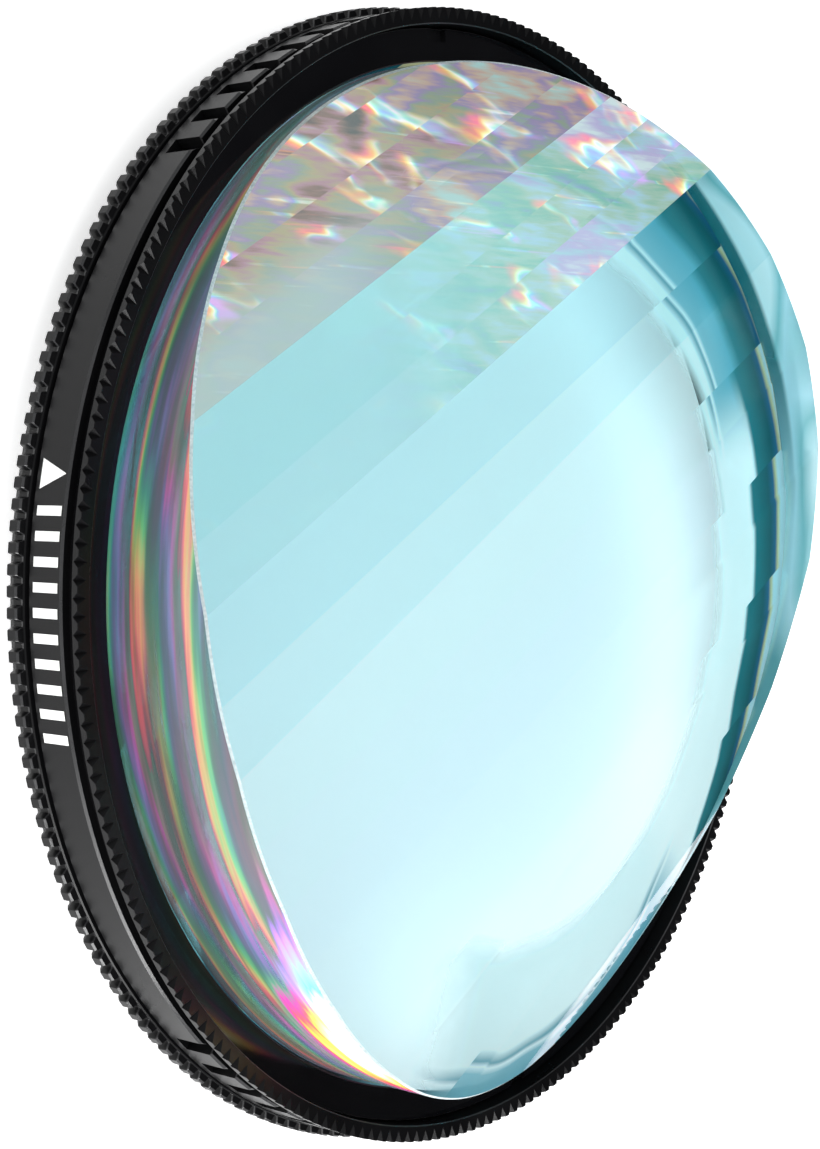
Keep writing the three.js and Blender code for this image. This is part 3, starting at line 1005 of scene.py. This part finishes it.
def mount_ring():
    columns = []
    for k in range(COARSE_TEETH):
        for share, _ in TOOTH_SHAPE:
            columns.extend(((k + share) * TOOTH_PITCH, (k - share) * TOOTH_PITCH))
    # The edges are the rear and the front chamfer of the teeth.
    ring = swept_ring(
        "mount_ring_threaded",
        merged_angles(columns),
        mount_ring_profile,
        [BLACK, BLACK_EDGE_HIGHLIGHT],
        edge_rows=(19, 21),
        crease=TOOTH_CREASE,
    )
    finish_piece(ring, "mount_body", "black_anodised", "mount_ring")


# ---- retaining ring, washers, seals and spring wire -----------------------------------------------

def retaining_ring():
    """The flat ring that holds the glass, with two spanner slots open to its outer side."""
    half = math.degrees(SPANNER_HALF_WIDTH / RETAINER_OUTER)
    corners = []
    for middle in SPANNER_ANGLES:
        for side in (-1, 1):
            edge = math.radians(middle + side * half)
            corners.extend((edge, edge + side * TINY_ANGLE))

    def in_slot(angle):
        reach = math.radians(half) + TINY_ANGLE / 2
        return any(abs(turned_by(angle, math.radians(middle))) < reach for middle in SPANNER_ANGLES)

    def profile(angle):
        floor = RETAINER_TOP - (SPANNER_DEPTH if in_slot(angle) else 0.0)
        slot_end = RETAINER_OUTER - SPANNER_LENGTH
        return [
            (RETAINER_BORE, RETAINER_STEP_BOTTOM),
            (RETAINER_STEP_BORE, RETAINER_STEP_BOTTOM),
            (RETAINER_STEP_BORE, RETAINER_BOTTOM),
            (RETAINER_OUTER, RETAINER_BOTTOM),
            (RETAINER_OUTER, floor - RETAINER_OUTER_EASE),
            (RETAINER_OUTER - RETAINER_OUTER_EASE, floor),
            (slot_end, floor),
            (slot_end - SPANNER_WALL_LEAN, RETAINER_TOP),
            (RETAINER_BORE + RETAINER_INNER_EASE, RETAINER_TOP),
            (RETAINER_BORE, RETAINER_TOP - RETAINER_INNER_EASE),
        ]

    # The edges are the eases of the outer side and of the bore.
    ring = swept_ring(
        "glass_retaining_ring",
        merged_angles(even_angles(RING_STEPS), corners),
        profile,
        [BEZEL, BLACK_EDGE_HIGHLIGHT],
        edge_rows=(4, 8),
    )
    finish_piece(ring, "front_body", "black_bezel", "retaining_ring")


def flat_ring(name, node, bore, body, slot, material):
    """A thin washer or seal as high and wide as its CAD node, with eased edges."""
    outer = outer_of(node)
    low = bottom_of(node)
    high = top_of(node)
    profile = []
    for radius, height, side in ((bore, low, 1), (outer, low, -1), (outer, high, -1), (bore, high, 1)):
        at_bottom = height == low
        flat = (radius + side * FLAT_RING_EASE, height)
        upright = (radius, height + (FLAT_RING_EASE if at_bottom else -FLAT_RING_EASE))
        profile.extend((upright, flat) if (side > 0) == at_bottom else (flat, upright))
    ring = swept_ring(name, even_angles(FLAT_RING_STEPS), lambda angle: profile, [material])
    finish_piece(ring, body, slot, node)


def spring_wire():
    """The open snap ring, a bent round wire with flat ends."""
    thick = WIRE_THICKNESS / 2
    points = []
    faces = []
    for k in range(RING_STEPS + 1):
        angle = WIRE_OPENING / 2 + (2 * math.pi - WIRE_OPENING) * k / RING_STEPS
        for turn in even_angles(WIRE_SIDES):
            reach = WIRE_RADIUS + thick * math.cos(turn)
            points.append(around(reach, angle, WIRE_HEIGHT + thick * math.sin(turn)))
    for k in range(RING_STEPS):
        for j in range(WIRE_SIDES):
            after = (j + 1) % WIRE_SIDES
            here = k * WIRE_SIDES
            there = here + WIRE_SIDES
            faces.append((here + j, there + j, there + after, here + after))
    faces.append(tuple(range(WIRE_SIDES)))
    faces.append(tuple(RING_STEPS * WIRE_SIDES + j for j in reversed(range(WIRE_SIDES))))
    wire = add_object("snap_ring_wire", points, faces, [STEEL], [0] * len(faces))
    finish_piece(wire, "mount_body", "spring_wire", "snap_wire")


# ---- index marks ----------------------------------------------------------------------------------

def painted_patch(name, node, middle, half_width_at):
    """A thin curved patch of paint on the band, whose half width follows its height."""
    points = []
    for radius in (BAND_RADIUS - MARK_SINK, BAND_RADIUS + MARK_RISE):
        for row in range(PATCH_ROWS + 1):
            share = row / PATCH_ROWS
            height = MARK_BOTTOM + (MARK_TOP - MARK_BOTTOM) * share
            for column in range(PATCH_COLUMNS + 1):
                across = half_width_at(share) * (2 * column / PATCH_COLUMNS - 1)
                points.append(around(radius, math.radians(middle) + across / BAND_RADIUS, height))
    wide = PATCH_COLUMNS + 1
    layer = (PATCH_ROWS + 1) * wide
    faces = []
    for row in range(PATCH_ROWS):
        for column in range(PATCH_COLUMNS):
            corner = row * wide + column
            quad = (corner, corner + 1, corner + 1 + wide, corner + wide)
            faces.append(tuple(layer + point for point in quad))
            faces.append(tuple(reversed(quad)))
    border = list(range(wide))
    border += [row * wide + PATCH_COLUMNS for row in range(1, PATCH_ROWS + 1)]
    border += [PATCH_ROWS * wide + column for column in reversed(range(PATCH_COLUMNS))]
    border += [row * wide for row in reversed(range(1, PATCH_ROWS))]
    for first, second in zip(border, border[1:] + border[:1]):
        faces.append((first, second, layer + second, layer + first))
    patch = add_object(name, points, faces, [PAINT], [0] * len(faces))
    finish_piece(patch, "front_body", "white_fill", node)


def mark_half_width(share):
    return MARK_HALF_WIDTH


def pointer_half_width(share):
    return POINTER_HALF_WIDTH * (1 - share) + POINTER_TIP_HALF_WIDTH


def index_marks():
    for k in range(MARK_COUNT):
        number = f"{k + 1:02d}"
        middle = MARK_FIRST + k * MARK_PITCH
        painted_patch(f"painted_mark_{number}", f"index_mark_{number}", middle, mark_half_width)
    painted_patch("painted_pointer", "index_pointer", POINTER_ANGLE, pointer_half_width)


# ---- prism ----------------------------------------------------------------------------------------

def strip_heights():
    """(distance across the strips, height) at each strip's edge, from the middle outwards."""
    edges = [(0.0, GLASS_PEAK)]
    for width, slope in zip(STRIP_WIDTHS, STRIP_SLOPES):
        across, height = edges[-1]
        edges.append((across + width, height - width * math.tan(math.radians(slope))))
    return edges


EDGES = strip_heights()


def glass_height(across):
    """Height of the strips at a distance across them."""
    across = abs(across)
    for (near, high), (far, low) in zip(EDGES, EDGES[1:]):
        if across <= far:
            return high + (low - high) * (across - near) / (far - near)
    return EDGES[-1][1]


def prism_glass():
    """The glass: a flat back, a shoulder, an upright wall with a chamfer, and flat strips."""
    inner_radius = GLASS_RADIUS - GLASS_CHAMFER
    borders = [edge for edge, _ in EDGES[:-1]]
    crossings = []
    for border in borders:
        turn = math.asin(border / inner_radius)
        for lean in (turn, math.pi - turn, -turn, math.pi + turn):
            crossings.append(STRIP_TURN + lean)
    angles = merged_angles(even_angles(GLASS_STEPS), crossings)
    count = len(angles)

    def across(radius, angle):
        return radius * math.sin(angle - STRIP_TURN)

    rows = [
        [around(GLASS_SHOULDER, a, GLASS_BOTTOM + GLASS_FOOT_EASE) for a in angles],
        [around(GLASS_SHOULDER, a, GLASS_SHOULDER_TOP) for a in angles],
        [around(GLASS_RADIUS, a, GLASS_SHOULDER_TOP) for a in angles],
        [around(GLASS_RADIUS, a, glass_height(across(GLASS_RADIUS, a)) - GLASS_CHAMFER) for a in angles],
        [around(inner_radius, a, glass_height(across(inner_radius, a))) for a in angles],
    ]
    points = [around(GLASS_SHOULDER - GLASS_FOOT_EASE, a, GLASS_BOTTOM) for a in angles]
    for row in rows:
        points.extend(row)
    faces = [tuple(reversed(range(count)))]
    for row in range(len(rows)):
        for k in range(count):
            after = (k + 1) % count
            low = row * count
            high = low + count
            faces.append((low + k, low + after, high + after, high + k))
    # One flat polygon for each strip, between two borders.
    rim = len(rows) * count
    signed = sorted({-border for border in borders} | set(borders))
    limits = [-GLASS_RADIUS, *signed, GLASS_RADIUS]
    for low, high in zip(limits, limits[1:]):
        inside = [
            k for k in range(count)
            if low - SAME_PLACE <= across(inner_radius, angles[k]) <= high + SAME_PLACE
        ]
        middle = (low + high) / 2
        inside.sort(key=lambda k: math.atan2(
            across(inner_radius, angles[k]) - middle,
            inner_radius * math.cos(angles[k] - STRIP_TURN),
        ))
        faces.append(tuple(rim + k for k in inside))
    glass = add_object("linear_prism_glass", points, faces, [GLASS], [0] * len(faces), STRIP_CREASE)
    finish_piece(glass, "front_body", "prism_glass", "prism_glass")


front_ring()
mount_ring()
retaining_ring()
flat_ring("seat_ring_gasket", "seat_gasket", SEAT_BORE, "front_body", "soft_seal", SEAL)
flat_ring("front_ring_seal", "front_seal", SEAL_BORE, "front_body", "soft_seal", SEAL)
flat_ring("rear_washer", "slip_washer_rear", REAR_WASHER_BORE, "mount_body", "washer", WASHER)
flat_ring("front_washer", "slip_washer_front", FRONT_WASHER_BORE, "mount_body", "washer", WASHER)
spring_wire()
index_marks()
prism_glass()


# ---- floor, light and camera ----------------------------------------------------------------------

def floor():
    """A wide white floor, lifted by a little light of its own."""
    n = Nodes("floor_white")
    clouds = n.noise(n.place()[0], scale=0.01)
    n.set(
        Base_Color=n.two_tone(clouds, (0.90, 0.90, 0.90), (0.93, 0.93, 0.93)),
        Roughness=0.8,
        Emission_Color=(1.0, 1.0, 1.0, 1.0),
        Emission_Strength=0.62,
    )
    half = FLOOR_HALF_WIDTH
    corners = [(-half, -half, 0.0), (half, -half, 0.0), (half, half, 0.0), (-half, half, 0.0)]
    add_object("floor", corners, [(0, 1, 2, 3)], [n.material], [0])


def area_light(name, place, aim, size, power):
    """A rectangular soft light, with its place and size in millimetres and its power in watts."""
    data = bpy.data.lights.new(name, "AREA")
    data.shape = "RECTANGLE"
    data.size = size[0] * MM
    data.size_y = size[1] * MM
    data.energy = power
    light = bpy.data.objects.new(name, data)
    light.location = Vector(place) * MM
    light.rotation_mode = "QUATERNION"
    light.rotation_quaternion = (Vector(aim) - Vector(place)).to_track_quat("-Z", "Y")
    bpy.context.scene.collection.objects.link(light)


def surroundings():
    """A studio room, bright on the -X side and dark on the +X side, and a pale backdrop for the camera."""
    room_strength = 0.6
    backdrop_colour = (0.93, 0.93, 0.93, 1.0)
    # (place from the +X side to the -X side, colour)
    stops = ((0.15, (0.06, 0.06, 0.063, 1.0)), (0.5, (0.85, 0.87, 0.88, 1.0)))
    world = bpy.data.worlds.new("studio")
    bpy.context.scene.world = world
    world.use_nodes = True
    nodes = world.node_tree.nodes
    link = world.node_tree.links.new

    # Shares run from 0 at +X to 1 at -X.
    parts = nodes.new("ShaderNodeSeparateXYZ")
    link(nodes.new("ShaderNodeTexCoord").outputs["Generated"], parts.inputs[0])
    share = nodes.new("ShaderNodeMapRange")
    share.inputs["From Min"].default_value = 1.0
    share.inputs["From Max"].default_value = -1.0
    link(parts.outputs[0], share.inputs["Value"])
    ramp = nodes.new("ShaderNodeValToRGB")
    for element, (position, colour) in zip(ramp.color_ramp.elements, stops):
        element.position = position
        element.color = colour
    link(share.outputs[0], ramp.inputs[0])

    room = nodes["Background"]
    room.inputs["Strength"].default_value = room_strength
    link(ramp.outputs[0], room.inputs["Color"])
    backdrop = nodes.new("ShaderNodeBackground")
    backdrop.inputs["Color"].default_value = backdrop_colour
    either = nodes.new("ShaderNodeMixShader")
    link(nodes.new("ShaderNodeLightPath").outputs["Is Camera Ray"], either.inputs[0])
    link(room.outputs[0], either.inputs[1])
    link(backdrop.outputs[0], either.inputs[2])
    link(either.outputs[0], nodes["World Output"].inputs["Surface"])


def camera():
    data = bpy.data.cameras.new("camera")
    data.lens = CAMERA_LENS
    data.sensor_width = CAMERA_SENSOR
    data.clip_start = CAMERA_NEAR
    data.clip_end = CAMERA_FAR
    made = bpy.data.objects.new("camera", data)
    level = math.cos(CAMERA_ELEVATION)
    forward = Vector((
        level * math.cos(CAMERA_HEADING),
        level * math.sin(CAMERA_HEADING),
        -math.sin(CAMERA_ELEVATION),
    ))
    made.location = CAMERA_AIM - forward * CAMERA_DISTANCE
    made.rotation_mode = "QUATERNION"
    made.rotation_quaternion = forward.to_track_quat("-Z", "Y") @ Quaternion((0, 0, 1), CAMERA_ROLL)
    bpy.context.scene.collection.objects.link(made)
    bpy.context.scene.camera = made


floor()
area_light("overhead", place=(-60, 30, 420), aim=(0, 0, 0), size=(360, 360), power=0.75)
area_light("lower_left", place=(-190, -260, 110), aim=(-20, -30, 0), size=(200, 120), power=1.2)
surroundings()
camera()
bpy.context.scene.view_settings.view_transform = "Standard"
